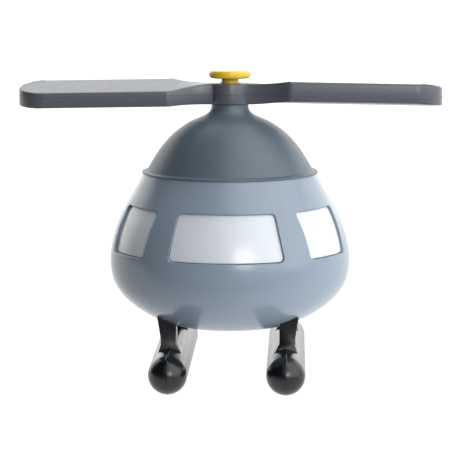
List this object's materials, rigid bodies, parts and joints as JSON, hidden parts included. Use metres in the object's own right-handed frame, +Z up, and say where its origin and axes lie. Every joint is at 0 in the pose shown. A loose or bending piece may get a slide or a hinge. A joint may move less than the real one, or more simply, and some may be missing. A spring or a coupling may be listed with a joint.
{
  "type": "toy helicopter",
  "caption": "Chubby preschool toy helicopter: round two-shell cabin with recessed windows, domed roof, pinned spinning main rotor, round-ended skids and a tail boom with a spinning tail rotor.",
  "frame": {"origin": "on the ground, below the middle of the whole toy", "axes": "+Z up, nose towards -Y, rotor blades along X at rest, the craft's own left side is +X"},
  "size_m": [0.2, 0.195, 0.146],
  "materials": {
    "hull_plastic": "glossy blue-grey",
    "dome_plastic": "satin slate grey",
    "window_plastic": "glossy white",
    "rotor_plastic": "satin dark grey",
    "pin_plastic": "glossy yellow",
    "skid_plastic": "glossy blue-black",
    "steel": "zinc plated"
  },
  "bodies": {
    "airframe": {"front_hull": "hull_plastic", "rear_hull": "hull_plastic", "dome": "dome_plastic", "windscreen": "window_plastic", "left_front_window": "window_plastic", "right_front_window": "window_plastic", "left_rear_window": "window_plastic", "right_rear_window": "window_plastic", "rotor_pin": "pin_plastic", "pin_washer": "steel", "pin_screw": "steel", "left_skid": "skid_plastic", "right_skid": "skid_plastic", "skid_screws": "steel", "hull_screws": "steel", "tail_fin": "dome_plastic", "tail_screw": "steel", "tail_pin": "pin_plastic", "tail_wing": "dome_plastic"},
    "main_rotor": {"main_rotor": "rotor_plastic"},
    "tail_rotor": {"tail_rotor": "rotor_plastic"}
  },
  "joints": [
    {"name": "main_rotor_spin", "type": "hinge", "parent": "airframe", "child": "main_rotor", "pos_m": [0, -0.04045, 0.135], "axis": [0, 0, 1], "continuous": true},
    {"name": "tail_rotor_spin", "type": "hinge", "parent": "airframe", "child": "tail_rotor", "pos_m": [0.01135, 0.08655, 0.085], "axis": [1, 0, 0], "continuous": true}
  ]
}
